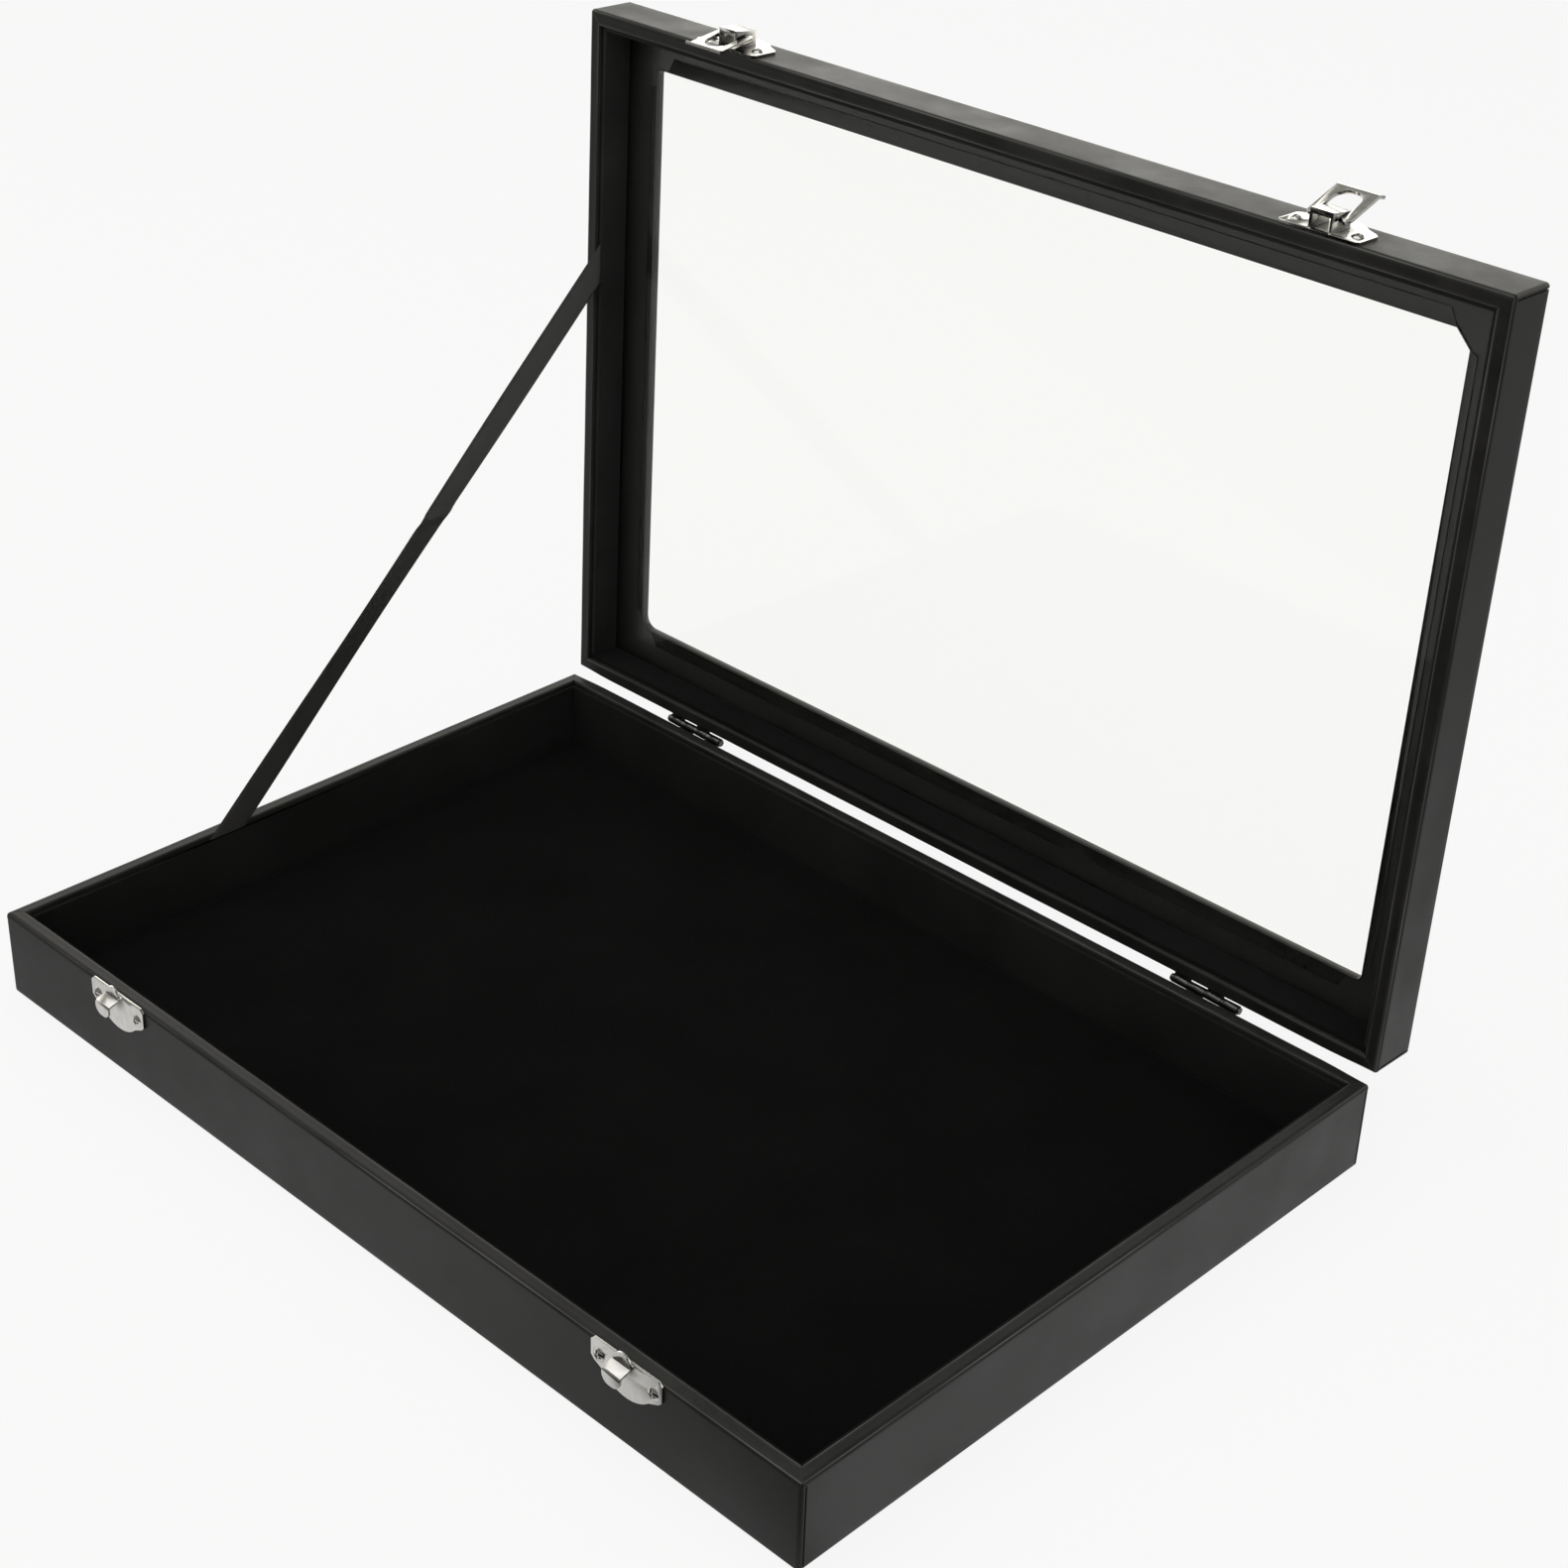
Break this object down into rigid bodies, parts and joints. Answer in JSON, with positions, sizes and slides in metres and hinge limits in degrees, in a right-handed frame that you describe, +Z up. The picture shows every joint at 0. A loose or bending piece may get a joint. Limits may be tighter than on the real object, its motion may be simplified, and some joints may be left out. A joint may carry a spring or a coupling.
{
  "type": "glass-lid jewelry box",
  "caption": "Flat display box for jewelry: a leatherette-covered tray lined with velvet, with a hinged glass-windowed lid, a stay strap and loop clasps.",
  "frame": {"origin": "middle of the underside of the base, on the surface the box stands on", "axes": "+X to the right along the front, +Y to the back where the hinges are, +Z up"},
  "size_m": [0.35, 0.2749, 0.2799],
  "materials": {
    "leatherette": "satin",
    "velvet": "matte",
    "board": "matte",
    "glass": "gloss",
    "nickel": "polished"
  },
  "bodies": {
    "base": {"base_wall_front": "board", "base_wall_right": "board", "base_wall_back": "board", "base_wall_left": "board", "bottom_board": "board", "base_wrap_front": "leatherette", "base_wrap_right": "leatherette", "base_wrap_back": "leatherette", "base_wrap_left": "leatherette", "bottom_cover": "leatherette", "base_lining_front": "velvet", "base_lining_right": "velvet", "base_lining_back": "velvet", "base_lining_left": "velvet", "floor_pad": "velvet", "catch_plate_left": "nickel", "catch_plate_right": "nickel", "catch_screws": "nickel", "hinge_base_leaf_left": "nickel", "hinge_base_leaf_right": "nickel", "hinge_pin_left": "nickel", "hinge_pin_right": "nickel", "strap": "leatherette"},
    "lid": {"lid_wall_front": "board", "lid_wall_right": "board", "lid_wall_back": "board", "lid_wall_left": "board", "lid_frame_board": "board", "lid_wrap_front": "leatherette", "lid_wrap_right": "leatherette", "lid_wrap_back": "leatherette", "lid_wrap_left": "leatherette", "lid_face_cover": "leatherette", "lid_lining_front": "velvet", "lid_lining_right": "velvet", "lid_lining_back": "velvet", "lid_lining_left": "velvet", "glass_pane": "glass", "hasp_plate_left": "nickel", "hasp_plate_right": "nickel", "hasp_screws": "nickel", "hinge_lid_leaf_left": "nickel", "hinge_lid_leaf_right": "nickel"},
    "loop_left": {"hasp_loop_left": "nickel"},
    "loop_right": {"hasp_loop_right": "nickel"}
  },
  "joints": [
    {"name": "lid_hinge", "type": "hinge", "parent": "base", "child": "lid", "pos_m": [0, 0.12175, 0.0298], "axis": [1, 0, 0], "range_deg": [0, 91.6], "deforming": ["strap"]},
    {"name": "loop_left_swing", "type": "hinge", "parent": "lid", "child": "loop_left", "pos_m": [-0.113, 0.13451, 0.27519], "axis": [-1, 0, 0], "range_deg": [0, 169.5]},
    {"name": "loop_right_swing", "type": "hinge", "parent": "lid", "child": "loop_right", "pos_m": [0.113, 0.13451, 0.27519], "axis": [1, 0, 0], "range_deg": [0, 169.5]}
  ]
}
